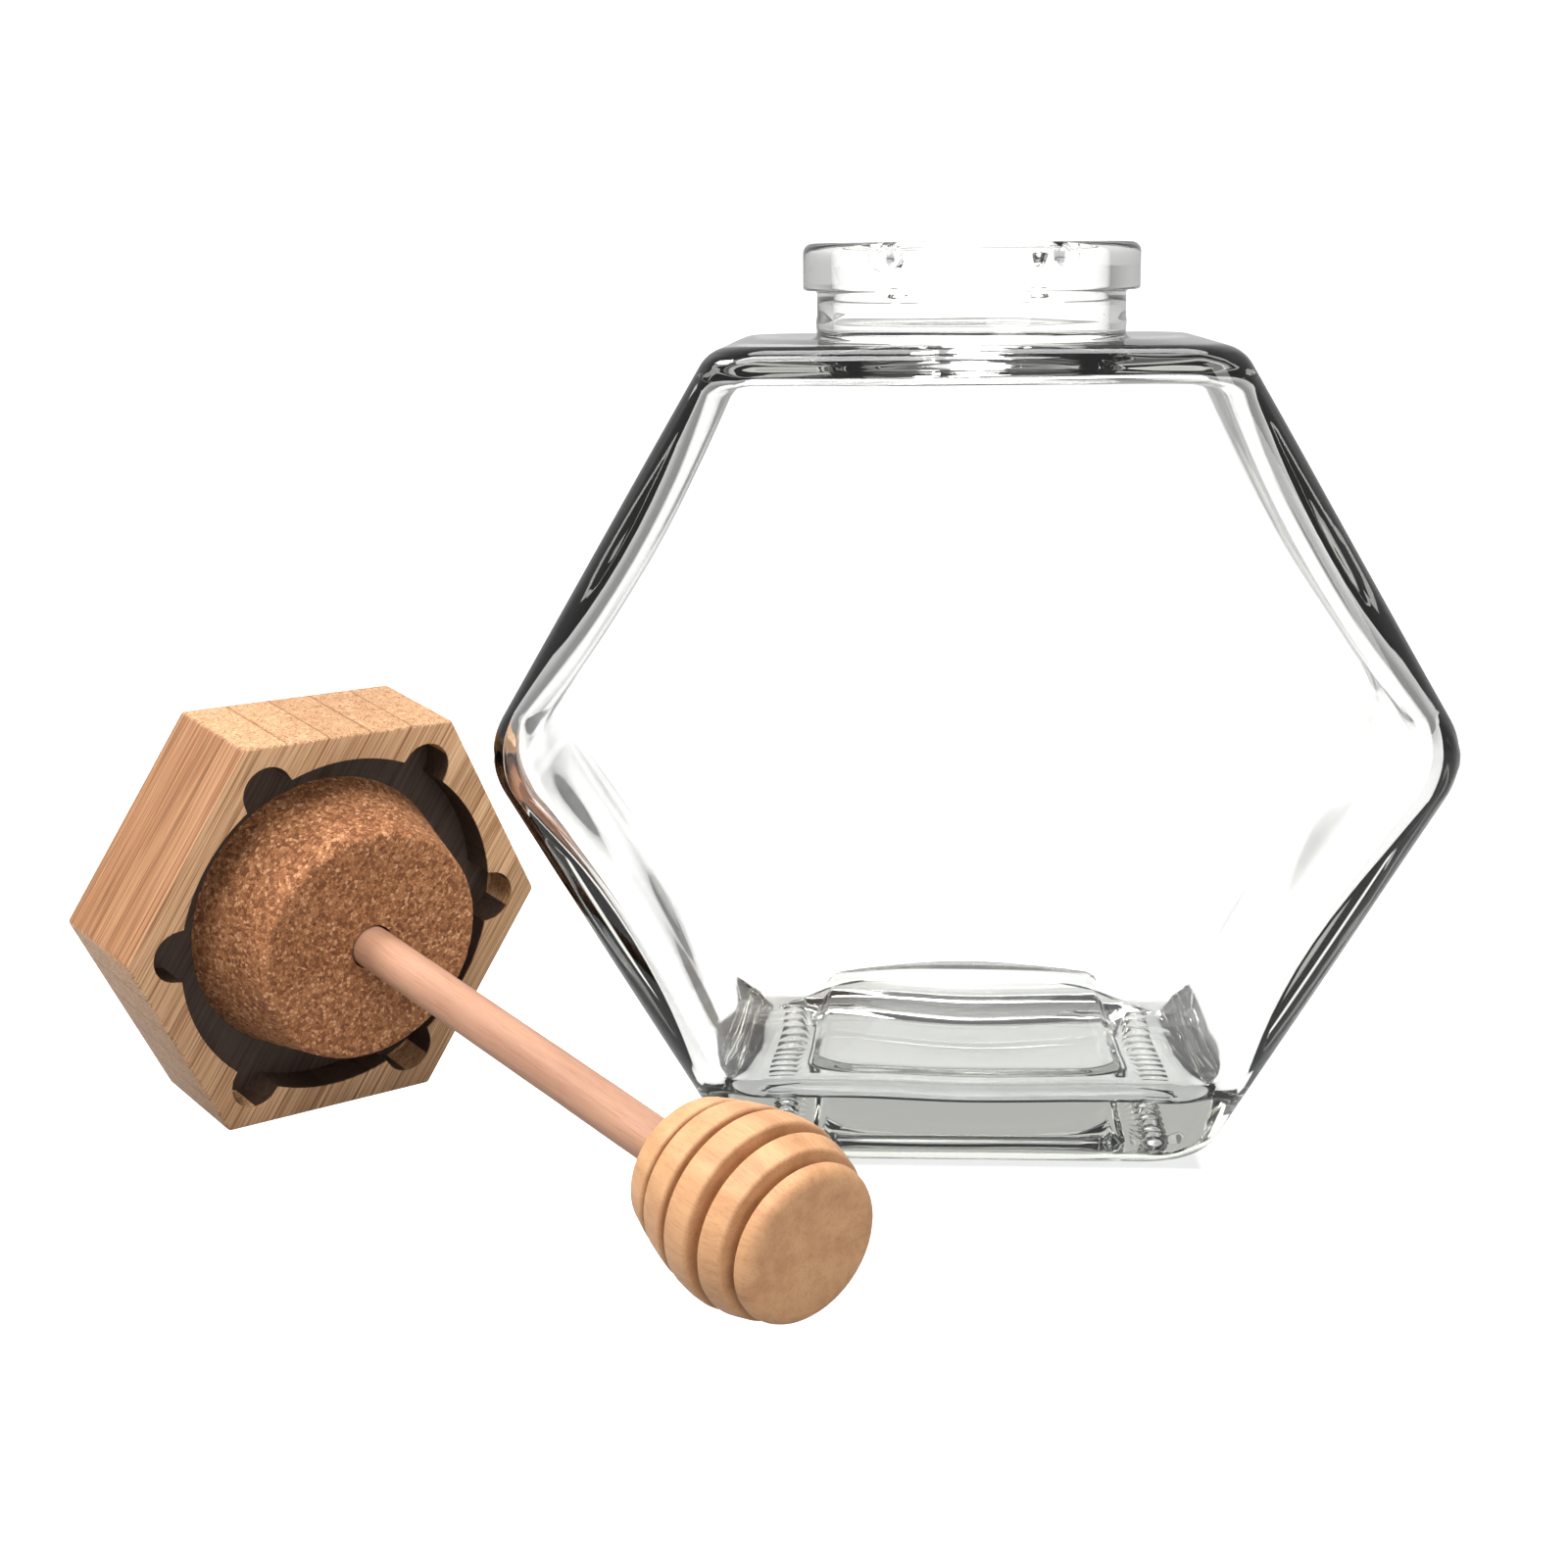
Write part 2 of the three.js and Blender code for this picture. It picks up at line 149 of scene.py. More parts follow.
# %% [markdown]
# ## The camera
# The photograph was matched with one camera, so its place is a measured one: about 32 cm in front of the jar,
# level with its rim and looking down by 11.65 degrees. The turns are made in the order that a tripod head has
# them.

# %% Camera
CAMERA_FROM_JAR = Vector((-6.21, -319.97, 107.15))  # from the table under the middle of the jar
CAMERA_YAW = math.radians(3.087)
CAMERA_PITCH = math.radians(11.65)
CAMERA_ROLL = math.radians(-0.42)
FOCAL_SHARE = 2602.24 / 1600  # focal length over the picture's width

camera_data = bpy.data.cameras.new("camera")
camera_data.sensor_width = 36
camera_data.lens = FOCAL_SHARE * camera_data.sensor_width
camera_data.clip_start = 0.01
camera = bpy.data.objects.new("camera", camera_data)
camera.matrix_world = (
    Matrix.Translation(jar_middle + CAMERA_FROM_JAR * MM)
    @ Matrix.Rotation(CAMERA_YAW, 4, "Z")
    @ Matrix.Rotation(math.pi / 2 - CAMERA_PITCH, 4, "X")
    @ Matrix.Rotation(CAMERA_ROLL, 4, "Z")
)
bpy.context.scene.collection.objects.link(camera)
bpy.context.scene.camera = camera
print("lens, mm:", round(camera_data.lens, 2))

# %% [markdown]
# ## The jar's outline
# Seen from the front the jar is a hexagon with rounded corners, and every level of it, seen from above, is a
# rectangle with rounded corners. So the glass is a stack of rings. Each ring is written as its half-width,
# its half-depth, its corner radius and its height, and the neck's rings are circles.
# The stack starts in the middle of the underside, goes up the outside, over the lip and down the inside, and
# ends in the middle of the floor, so that it encloses the glass and nothing else.

# %% Sizes of the glass body
FOOT_HALF = 28.4
WAIST_HALF = 58.4
WAIST_Z = 49.4
TOP_HALF = 30.3
BODY_HEIGHT = 97.3
BODY_DEPTH = 57.2
HEEL_RADIUS = 6.4
WAIST_RADIUS = 9
SHOULDER_RADIUS = 4.5
HEEL_DROP = 3.5  # radius of the arris between the front and the foot
SHOULDER_DROP = 2.4  # radius of the arris between the front and the top
EDGE_RADIUS = 5.5  # radius of the arrises between the front and the sides
INNER_CORNER_RADIUS = 3.2

# %% Sizes of the wall and of the base
CORNER_WALL = 2.3
SIDE_SWELL = 1.3  # how much thicker the side walls are between two corners
FACE_WALL = 3
CEILING_WALL = 3.4
FLOOR_Z = 6.4
PANEL_RISE = 1.4  # how high the floor's middle panel stands above the floor
PANEL_HALF = (20, 18.5)
PANEL_SLOPE = 2
INNER_EDGE_RADIUS = 7
INNER_SHOULDER_DROP = 1.2
PUSH_UP = 1.3  # how far the underside is pushed in, inside the rim that it stands on
PUSH_UP_HALF = 20
PUSH_UP_SLOPE = 2.4

# %% Sizes of the neck
BORE_RADIUS = 17
NECK_RADIUS = 18.95
COLLAR_RADIUS = 20.65
COLLAR_FOOT_Z = 103.2
JAR_HEIGHT = 108.9
LIP_RADIUS = 1.2

# %% How finely the outline is drawn
SIDE_STEPS = 18  # along a straight side
WAIST_STEPS = 12
LIP_STEPS = 7
RIM_STEPS = 6  # across the slope of a panel
PANEL_RINGS = 8  # rings that fill a flat area
COLLAR_STEP = 0.32  # height between the rings that carry the lugs

# %% A ring of the stack
Ring = namedtuple("Ring", "x y corner z round")


def box_ring(x, y, corner, z):
    return Ring(x, y, min(corner, x, y), z, False)


def round_ring(radius, z):
    return Ring(radius, radius, radius, z, True)


# %% Arcs and straight runs of an outline
def rounded_corner(before, corner, after, radius, steps):
    """Points of the arc that rounds the corner between two others."""
    back = (before - corner).normalized()
    on = (after - corner).normalized()
    half = back.angle(on) / 2
    centre = corner + (back + on).normalized() * (radius / math.sin(half))
    start = corner + back * (radius / math.tan(half)) - centre
    end = corner + on * (radius / math.tan(half)) - centre
    sweep = math.atan2(start.x * end.y - start.y * end.x, start.dot(end))
    return [centre + Matrix.Rotation(sweep * i / steps, 2) @ start for i in range(steps + 1)]


def straight_run(start, end, steps):
    """Points between two others, closer together near both ends, where the curves are."""
    shares = [(1 - math.cos(math.pi * i / steps)) / 2 for i in range(1, steps)]
    return [(share, start.lerp(end, share)) for share in shares]


def flat_panel(x, y, z):
    """Rings of a flat area, from its rim to its middle, so that its faces stay small."""
    rings = []
    for i in range(1, PANEL_RINGS + 1):
        share = 1 - i / PANEL_RINGS
        rings.append(box_ring(x * share, y * share, EDGE_RADIUS * share, z))
    return rings


def step_up(x, y, low, high, width, steps):
    """Rings of a soft step, such as the rim of a panel, going inwards and up or down."""
    rings = []
    for i in range(steps + 1):
        share = i / steps
        z = low + (high - low) * (1 - math.cos(math.pi * share)) / 2
        rings.append(box_ring(x - width * share, y - width * share, EDGE_RADIUS, z))
    return rings


# %% The hexagon and its depth
def side_corners(wall, floor, ceiling):
    """The hexagon's right-hand corners, moved in by a wall, as half-width and height."""
    lower = (WAIST_HALF - FOOT_HALF) / WAIST_Z
    upper = (WAIST_HALF - TOP_HALF) / (BODY_HEIGHT - WAIST_Z)
    lower_start = FOOT_HALF - wall * math.hypot(1, lower)
    upper_start = WAIST_HALF + WAIST_Z * upper - wall * math.hypot(1, upper)
    waist = (upper_start - lower_start) / (lower + upper)
    return (
        Vector((lower_start + floor * lower, floor)),
        Vector((lower_start + waist * lower, waist)),
        Vector((upper_start - ceiling * upper, ceiling)),
    )


def drawn_in(drop, used):
    """How far a quarter round of radius drop has come in, where used of its height is left."""
    used = min(max(used, 0), drop)
    return drop - math.sqrt(drop * drop - used * used)


def half_depth(z, half, foot, top, foot_drop, top_drop):
    """Half of the depth at a height, with the arrises at the foot and at the top rounded."""
    at_foot = drawn_in(foot_drop, foot_drop - (z - foot))
    at_top = drawn_in(top_drop, top_drop - (top - z))
    return half - at_foot - at_top


# %% Rings of the outside
RIB_BAND = (21.2, 24.7)  # half-widths between which the foot is ribbed
RIB_RUN = 22.4  # half of the band's length, front to back
RIB_BAND_RINGS = 9
RIB_CORNER = 1.2


def outer_rings():
    foot, waist, top = side_corners(0, 0, BODY_HEIGHT)
    heel = rounded_corner(Vector((0, 0)), foot, waist, HEEL_RADIUS, 8)
    belly = rounded_corner(foot, waist, top, WAIST_RADIUS, WAIST_STEPS)
    shoulder = rounded_corner(waist, top, Vector((0, BODY_HEIGHT)), SHOULDER_RADIUS, 14)
    side = heel + [point for _, point in straight_run(heel[-1], belly[0], SIDE_STEPS)] + belly
    side += [point for _, point in straight_run(belly[-1], shoulder[0], SIDE_STEPS)] + shoulder
    push_up = step_up(PUSH_UP_HALF, PUSH_UP_HALF, 0, PUSH_UP, PUSH_UP_SLOPE, RIM_STEPS)
    flat_half = PUSH_UP_HALF - PUSH_UP_SLOPE
    rings = (push_up + flat_panel(flat_half, flat_half, PUSH_UP))[::-1]
    low, high = RIB_BAND
    for i in range(RIB_BAND_RINGS):
        share = i / (RIB_BAND_RINGS - 1)
        rings.append(box_ring(low + (high - low) * share, RIB_RUN + RIB_CORNER + share, RIB_CORNER, 0))
    for x, z in side:
        y = half_depth(z, BODY_DEPTH / 2, 0, BODY_HEIGHT, HEEL_DROP, SHOULDER_DROP)
        rings.append(box_ring(x, y, EDGE_RADIUS, z))
    return rings


# %% Rings of the neck
NECK_FOOT = (  # out from the neck's radius, and up from the body: a fillet and then a faint bead
    (0.9, 0),
    (0.45, 0.117),
    (0.117, 0.45),
    (0.03, 0.9),
    (0.1, 1.6),
    (0.1, 2.2),
    (0, 2.9),
    (0, 4.2),
)
COLLAR_FOOT = (  # radius, and up from the collar's foot
    (NECK_RADIUS, -0.3),
    (NECK_RADIUS + 0.25, 0),
    (COLLAR_RADIUS - 0.4, 0),
    (COLLAR_RADIUS - 0.1, 0.12),
)
COLLAR_ARRIS = 0.4  # from the collar's foot to its straight side
LIP_GUARD = 0.1  # a ring closer than this to the lip is left out


def neck_rings():
    lip_z = JAR_HEIGHT - LIP_RADIUS
    turns = [math.pi / 2 * i / LIP_STEPS for i in range(LIP_STEPS + 1)]
    rings = [round_ring(NECK_RADIUS + out, BODY_HEIGHT + up) for out, up in NECK_FOOT]
    rings += [round_ring(radius, COLLAR_FOOT_Z + up) for radius, up in COLLAR_FOOT]
    level = COLLAR_FOOT_Z + COLLAR_ARRIS
    while level < lip_z - LIP_GUARD:
        rings.append(round_ring(COLLAR_RADIUS, level))
        level += COLLAR_STEP
    for turn in turns:
        outer_radius = COLLAR_RADIUS - LIP_RADIUS * (1 - math.cos(turn))
        rings.append(round_ring(outer_radius, lip_z + LIP_RADIUS * math.sin(turn)))
    for turn in turns:
        inner_radius = BORE_RADIUS + LIP_RADIUS * (1 - math.sin(turn))
        rings.append(round_ring(inner_radius, lip_z + LIP_RADIUS * math.cos(turn)))
    return rings


# %% Rings of the inside
def swelling(start, end, steps):
    """A side of the inside: the glass is thin at its corners and swells between them."""
    points = []
    for share, point in straight_run(start, end, steps):
        points.append(Vector((point.x - SIDE_SWELL * math.sin(math.pi * share), point.y)))
    return points


BORE_LEVELS = (106, 104, 102, 100, BODY_HEIGHT + 1, BODY_HEIGHT - 1.2)  # from the lip down
BORE_FLARE = ((0.3, 1.2), (0.7, 0.5), (1.3, 0.12), (2, 0))  # out from the bore, and up from the ceiling


def inner_rings():
    ceiling = BODY_HEIGHT - CEILING_WALL
    foot, waist, top = side_corners(CORNER_WALL, FLOOR_Z, ceiling)
    shoulder = rounded_corner(Vector((0, ceiling)), top, waist, SHOULDER_RADIUS, 12)
    belly = rounded_corner(top, waist, foot, WAIST_RADIUS, WAIST_STEPS)
    heel = rounded_corner(waist, foot, Vector((0, FLOOR_Z)), INNER_EDGE_RADIUS, 10)
    side = shoulder + swelling(shoulder[-1], belly[0], SIDE_STEPS) + belly
    side += swelling(belly[-1], heel[0], SIDE_STEPS) + heel
    rings = [round_ring(BORE_RADIUS, z) for z in BORE_LEVELS]
    rings += [round_ring(BORE_RADIUS + out, ceiling + up) for out, up in BORE_FLARE]
    half = BODY_DEPTH / 2 - FACE_WALL
    for x, z in side:
        y = half_depth(z, half, FLOOR_Z, ceiling, INNER_EDGE_RADIUS, INNER_SHOULDER_DROP)
        rings.append(box_ring(x, y, INNER_CORNER_RADIUS, z))
    panel_z = FLOOR_Z + PANEL_RISE
    rings += step_up(*PANEL_HALF, FLOOR_Z, panel_z, PANEL_SLOPE, RIM_STEPS)
    rings += flat_panel(*(size - PANEL_SLOPE for size in PANEL_HALF), panel_z)
    return rings


# %% [markdown]
# ## From rings to glass
# The spin operator turns a ladder of points into a tube, one rung for each ring. Every vertex of the tube
# knows its rung by its height and its column by its angle, and is then moved to its place on that ring. The
# first and the last ring have no size, so their vertices meet in one point and are merged.
# A row of straight steps, a row of arc steps and one more straight row make up each quarter of a ring, so
# that the columns run straight up the jar and its edges stay smooth.

# %% A point of a ring
EDGE_STEPS = 30
CORNER_STEPS = 12
QUARTER = 2 * EDGE_STEPS + CORNER_STEPS
COLUMNS = 4 * QUARTER
STRAIGHT_ANGLE = math.radians(33)  # the angle of a round ring that goes with a straight run


def ring_point(ring, column):
    """The place of a column's vertex on a ring, in plan."""
    quarter, step = divmod(column, QUARTER)
    first, second = (ring.x, ring.y) if quarter % 2 else (ring.y, ring.x)
    arc = (step - EDGE_STEPS) / CORNER_STEPS
    late = QUARTER - step
    if ring.round:
        if arc < 0:
            angle = STRAIGHT_ANGLE * step / EDGE_STEPS
        elif arc > 1:
            angle = math.pi / 2 - STRAIGHT_ANGLE * late / EDGE_STEPS
        else:
            angle = STRAIGHT_ANGLE + (math.pi / 2 - 2 * STRAIGHT_ANGLE) * arc
        point = Vector((ring.x * math.cos(angle), ring.x * math.sin(angle)))
    elif arc < 0:
        point = Vector((first, (second - ring.corner) * step / EDGE_STEPS))
    elif arc > 1:
        point = Vector(((first - ring.corner) * late / EDGE_STEPS, second))
    else:
        turn = arc * math.pi / 2
        point = Vector((first - ring.corner, second - ring.corner))
        point += ring.corner * Vector((math.cos(turn), math.sin(turn)))
    return Matrix.Rotation((quarter - 1) * math.pi / 2, 2) @ point


# %% Spin a row of points
MERGE_WITHIN = 1e-4


def spin_row(bm, points, steps):
    """Joins the points in a row and spins it once around the Z axis."""
    row = [bm.verts.new(point) for point in points]
    joins = [bm.edges.new(pair) for pair in zip(row, row[1:])]
    once = {"cent": (0, 0, 0), "axis": (0, 0, 1), "angle": 2 * math.pi, "use_merge": True}
    bmesh.ops.spin(bm, geom=row + joins, steps=steps, **once)


def close_ends(bm):
    """Merges the vertices that meet on the axis and turns all faces outwards."""
    bmesh.ops.remove_doubles(bm, verts=bm.verts, dist=MERGE_WITHIN)
    bmesh.ops.recalc_face_normals(bm, faces=bm.faces)


# %% The tube of glass
def ring_tube(rings):
    """A closed skin through a stack of rings."""
    bm = bmesh.new()
    spin_row(bm, [(1, 0, i) for i in range(len(rings))], COLUMNS)
    for vert in bm.verts:
        ring = rings[round(vert.co.z)]
        column = round(math.atan2(vert.co.y, vert.co.x) / (2 * math.pi) * COLUMNS) % COLUMNS
        vert.co = (*ring_point(ring, column), ring.z)
    close_ends(bm)
    return bm


# %% [markdown]
# ## Lugs, ribs and hand-made unevenness
# Four small lugs stand out of the collar, a band of ribs runs under each side of the foot, and the panel on
# the floor climbs towards the back wall. The mesh is fine enough there to push its vertices to that shape,
# which keeps the glass one closed skin without any boolean cut.
# Pressed glass is smooth outside, where it touched the mould, and wavy inside, where it didn't. A slow noise
# along the normals gives that, and it is what bends the light inside the jar.

# %% Lugs of the collar
LUG_ANGLES = (60, 120, 240, 300)  # degrees, none of them at the collar's sides
LUG_RADIUS = 1.5


def raise_lugs(bm):
    for degrees in LUG_ANGLES:
        angle = math.radians(degrees)
        outward = Vector((math.cos(angle), math.sin(angle), 0))
        centre = outward * COLLAR_RADIUS + Vector((0, 0, JAR_HEIGHT - LUG_RADIUS))
        for vert in bm.verts:
            offset = vert.co - centre
            depth = offset.dot(outward)
            across = (offset - outward * depth).length
            if across < LUG_RADIUS and -LUG_RADIUS < depth < LUG_RADIUS:
                bulge = math.sqrt(LUG_RADIUS**2 - across**2)
                vert.co += outward * (max(depth, bulge) - depth)


# %% Ribs of the foot
RIB_DEPTH = 0.9
RIB_PITCH = 3.4
TABLE_TOUCH = 0.01  # a vertex this near to the table's plane is on the foot


def press_ribs(bm):
    low, high = RIB_BAND
    for vert in bm.verts:
        half = abs(vert.co.x)
        if abs(vert.co.z) < TABLE_TOUCH and low < half < high and abs(vert.co.y) < RIB_RUN:
            share = math.sin(math.pi * (half - low) / (high - low))
            wave = 0.5 + 0.5 * math.cos(2 * math.pi * vert.co.y / RIB_PITCH)
            vert.co.z += RIB_DEPTH * math.sqrt(share) * wave


# %% The floor's raised back
ARCH_RISE = 3  # how much the panel climbs towards the back wall, in the middle
ARCH_SAG = 0.55  # share of that rise which is lost at the panel's sides
ARCH_RUN = (6, 23)  # from where to where it climbs, front to back


def arch_floor(bm):
    start, end = ARCH_RUN
    half, slope = PANEL_HALF[0], PANEL_SLOPE
    for vert in bm.verts:
        out = abs(vert.co.x)
        if out < half and vert.co.y > start and is_inside(vert.co):
            climb = min((vert.co.y - start) / (end - start), 1)
            arch = ARCH_RISE * climb * climb * (3 - 2 * climb)
            rise = PANEL_RISE + arch * (1 - ARCH_SAG * (out / half) ** 2)
            level = FLOOR_Z + rise * min((half - out) / slope, 1)
            vert.co.z = max(vert.co.z, level)


# %% Waviness of the two skins
INSIDE_WAVE = 0.35
OUTSIDE_WAVE = 0.05
WAVE_LENGTH = 17
NECK_CALM = 0.35  # share of the waviness that is left in the neck
NECK_DEPTH = 0.5  # from this far below the body's top a point is measured from the neck's wall
CALM_FOOT = 0.6  # the glass stays flat up to this height, so that it stands still


def is_inside(point):
    """True for a point on the jar's inner skin, by how far it is from the outer one."""
    if point.z > BODY_HEIGHT - NECK_DEPTH:
        return math.hypot(point.x, point.y) < (BORE_RADIUS + NECK_RADIUS) / 2
    lower = FOOT_HALF + (WAIST_HALF - FOOT_HALF) * point.z / WAIST_Z
    upper = TOP_HALF + (WAIST_HALF - TOP_HALF) * (BODY_HEIGHT - point.z) / (BODY_HEIGHT - WAIST_Z)
    half_wall = CORNER_WALL / 2
    return (
        abs(point.x) < min(lower, upper) - half_wall
        and abs(point.y) < BODY_DEPTH / 2 - half_wall
        and FLOOR_Z / 2 < point.z < BODY_HEIGHT - half_wall
    )


def make_wavy(bm):
    bm.normal_update()
    moves = []
    for vert in bm.verts:
        wave = INSIDE_WAVE if is_inside(vert.co) else OUTSIDE_WAVE
        if vert.co.z > BODY_HEIGHT:
            wave *= NECK_CALM
        if vert.co.z > CALM_FOOT:
            moves.append((vert, vert.normal * (wave * noise.noise(vert.co / WAVE_LENGTH))))
    for vert, move in moves:
        vert.co += move


# %% [markdown]
# ## Handing a mesh over
# Each finished mesh goes through the same steps: it is put in its place in the row, given its material and
# told to shade its curves smoothly but to keep its arrises. Then the solid that it stands for is hidden, and
# the piece is hung under the root body.


# %% Finish a piece
def hand_over(bm, name, place, material, node, arris=None):
    bmesh.ops.transform(bm, matrix=place, verts=bm.verts)
    bmesh.ops.recalc_face_normals(bm, faces=bm.faces)
    mesh = bpy.data.meshes.new(name)
    bm.to_mesh(mesh)
    bm.free()
    mesh.materials.append(material)
    mesh.shade_smooth()
    if arris is not None:
        mesh.set_sharp_from_angle(angle=math.radians(arris))
    piece = bpy.data.objects.new(name, mesh)
    bpy.context.scene.collection.objects.link(piece)
    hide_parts(node)
    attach(piece, "root")
    print(name, "has", len(mesh.polygons), "faces")


# %% [markdown]
# ## Materials
# All materials are made of nodes. A few helpers keep the cells short: one adds a node, sets its values and
# links its inputs, and the others wrap the nodes that come back again and again.


# %% Node helpers
def new_material(name):
    material = bpy.data.materials.new(name)
    material.use_nodes = True
    tree = material.node_tree
    tree.nodes.clear()
    return material, tree


def add(tree, kind, inputs=None, **settings):
    """Adds a node. An input is a plain value or another node's output."""
    node = tree.nodes.new(kind)
    for name, value in settings.items():
        setattr(node, name, value)
    for name, value in (inputs or {}).items():
        if isinstance(value, bpy.types.NodeSocket):
            tree.links.new(value, node.inputs[name])
        else:
            node.inputs[name].default_value = value
    return node


def output_surface(tree, shader, volume=None):
    output = add(tree, "ShaderNodeOutputMaterial", {"Surface": shader})
    if volume is not None:
        tree.links.new(volume, output.inputs["Volume"])


# %% Helpers for numbers
def maths(tree, operation, first, second=0.0, third=0.0):
    return add(tree, "ShaderNodeMath", {0: first, 1: second, 2: third}, operation=operation).outputs[0]


def squared(tree, value):
    return maths(tree, "MULTIPLY", value, value)


def map_range(tree, value, start, end, low=0.0, high=1.0):
    """Takes start to end over to low to high, and holds the number beyond them."""
    limits = {"From Min": start, "From Max": end, "To Min": low, "To Max": high}
    return add(tree, "ShaderNodeMapRange", {"Value": value, **limits}).outputs[0]


def multiply_vectors(tree, first, second):
    return add(tree, "ShaderNodeVectorMath", {0: first, 1: second}, operation="MULTIPLY").outputs[0]


# %% Helpers for colours
def ramp(tree, factor, stops):
    """A colour ramp with the given places and colours."""
    node = add(tree, "ShaderNodeValToRGB", {"Fac": factor})
    elements = node.color_ramp.elements
    while len(elements) < len(stops):
        elements.new(0.5)
    for element, (place, colour) in zip(elements, stops):
        element.position = place
        element.color = (*colour, 1)
    return node.outputs["Color"]


def multiply_colour(tree, factor, first, second):
    """The first colour, darkened by the second as much as the factor says."""
    node = add(tree, "ShaderNodeMix", {"Factor": factor}, data_type="RGBA", blend_type="MULTIPLY")
    for socket, value in ((node.inputs[6], first), (node.inputs[7], second)):
        if isinstance(value, bpy.types.NodeSocket):
            tree.links.new(value, socket)
        else:
            socket.default_value = (*value, 1)
    return node.outputs[2]


# %% A helper for bare surfaces
def bare_surface(tree, colour, height, rough, shine, strength, distance):
    """A Principled surface without a coat, with fine relief from a height."""
    bump = add(tree, "ShaderNodeBump", {"Height": height, "Strength": strength, "Distance": distance})
    finish = {"Base Color": colour, "Roughness": rough, "Specular IOR Level": shine}
    shader = add(tree, "ShaderNodeBsdfPrincipled", {**finish, "Normal": bump.outputs[0]})
    output_surface(tree, shader.outputs[0])


# %% [markdown]
# ### Glass
# Clear glass has next to no colour of its own on its surface. Its grey comes from the light that it swallows
# on the way through, so thick places such as the base and the walls seen edge on are darker than the thin
# front. Volume Absorption does that by itself, and the base is greyer still where the painted shade on the
# floor under the foot shows through it. Light from lamps is let through, or the jar would throw a solid
# shadow.

# %% Glass material
GLASS_SURFACE = (0.985, 0.985, 0.975, 1)
GLASS_SHADOW = (0.9, 0.92, 0.91, 1)  # what is left of a lamp's light behind one skin of the jar
GLASS_VOLUME = (0.52, 0.54, 0.44, 1)
GLASS_ABSORPTION = 11

glass, tree = new_material("clear_glass")
body = add(
    tree,
    "ShaderNodeBsdfPrincipled",
    {"Base Color": GLASS_SURFACE, "Roughness": 0.0, "IOR": 1.5, "Transmission Weight": 1.0},
)
clear = add(tree, "ShaderNodeBsdfTransparent", {"Color": GLASS_SHADOW})
path = add(tree, "ShaderNodeLightPath")
blend = add(
    tree,
    "ShaderNodeMixShader",
    {0: path.outputs["Is Shadow Ray"], 1: body.outputs[0], 2: clear.outputs[0]},
)
depth = add(tree, "ShaderNodeVolumeAbsorption", {"Color": GLASS_VOLUME, "Density": GLASS_ABSORPTION})
output_surface(tree, blend.outputs[0], depth.outputs[0])

# %% The jar
jar_rings = outer_rings() + neck_rings() + inner_rings()
jar_mesh = ring_tube(jar_rings)
raise_lugs(jar_mesh)
press_ribs(jar_mesh)
arch_floor(jar_mesh)
make_wavy(jar_mesh)
hand_over(jar_mesh, "jar_of_glass", jar_to_row, glass, "glass_jar")

# %% [markdown]
# ### Wood that knows its direction
# Wood and bamboo look different along the grain and across it, so their patterns live in a frame of their
# own: one Mapping node takes the row's coordinates into the lid's frame, in millimetres, and a second one
# turns them until X runs along the grain. The rod and the head are turned on the same axis as the lid, so
# they share that frame too.


# %% Coordinates in the lid's frame
def lid_coordinates(tree, turn):
    """Object coordinates taken to the lid's frame, in millimetres, and then turned."""
    where = add(tree, "ShaderNodeTexCoord")
    lid_frame = {"Location": lid_place, "Rotation": lid_turn, "Scale": (MM, MM, MM)}
    to_lid = add(
        tree,
        "ShaderNodeMapping",
        {"Vector": where.outputs["Object"], **lid_frame},
        vector_type="TEXTURE",
    )
    turned = add(
        tree,
        "ShaderNodeMapping",
        {"Vector": to_lid.outputs[0], "Rotation": turn},
        vector_type="TEXTURE",
    )
    return turned.outputs[0]


# %% An empty node group
def new_group(name, inputs, outputs):
    """An empty node group with the named sockets. A plain default sets each input's kind."""
    group = bpy.data.node_groups.new(name, "ShaderNodeTree")
    kinds = {float: "NodeSocketFloat", tuple: "NodeSocketColor", Vector: "NodeSocketVector"}
    for socket_name, default in inputs.items():
        socket = group.interface.new_socket(socket_name, in_out="INPUT", socket_type=kinds[type(default)])
        socket.default_value = default
    for socket_name, kind in outputs.items():
        group.interface.new_socket(socket_name, in_out="OUTPUT", socket_type=kind)
    return group, group.nodes.new("NodeGroupInput"), group.nodes.new("NodeGroupOutput")


# %% A group: streaks along the grain
streaks, into, out = new_group(
    "grain_streaks",
    {"Place": Vector((0, 0, 0)), "Length": 30.0, "Width": 0.6},
    {"Streaks": "NodeSocketFloat"},
)
across = maths(streaks, "DIVIDE", 1.0, into.outputs["Width"])
along = maths(streaks, "DIVIDE", 1.0, into.outputs["Length"])
stretch = add(streaks, "ShaderNodeCombineXYZ", {"X": along, "Y": across, "Z": across})
squeezed = multiply_vectors(streaks, into.outputs["Place"], stretch.outputs[0])
fibres = add(
    streaks,
    "ShaderNodeTexNoise",
    {"Vector": squeezed, "Scale": 1.0, "Detail": 4.0, "Roughness": 0.6},
)
streaks.links.new(fibres.outputs["Fac"], out.inputs["Streaks"])


def grain_streaks(tree, place, length, width):
    """Streaks of noise that are this long along X and this wide across it, in millimetres."""
    sizes = {"Place": place, "Length": length, "Width": width}
    return add(tree, "ShaderNodeGroup", sizes, node_tree=streaks).outputs["Streaks"]


print("inputs of the group:", [socket.name for socket in into.outputs if socket.name])

# %% [markdown]
# ### Bamboo
# The block is glued up from upright strips about 5 mm wide. Each strip has its own tone, and dark fibre
# bundles run along it: they show as fine lines on the long faces and as dots on the two faces that cut
# through them. A pattern that is drawn in the plane across the grain and carried along it gives both from
# one set of nodes.

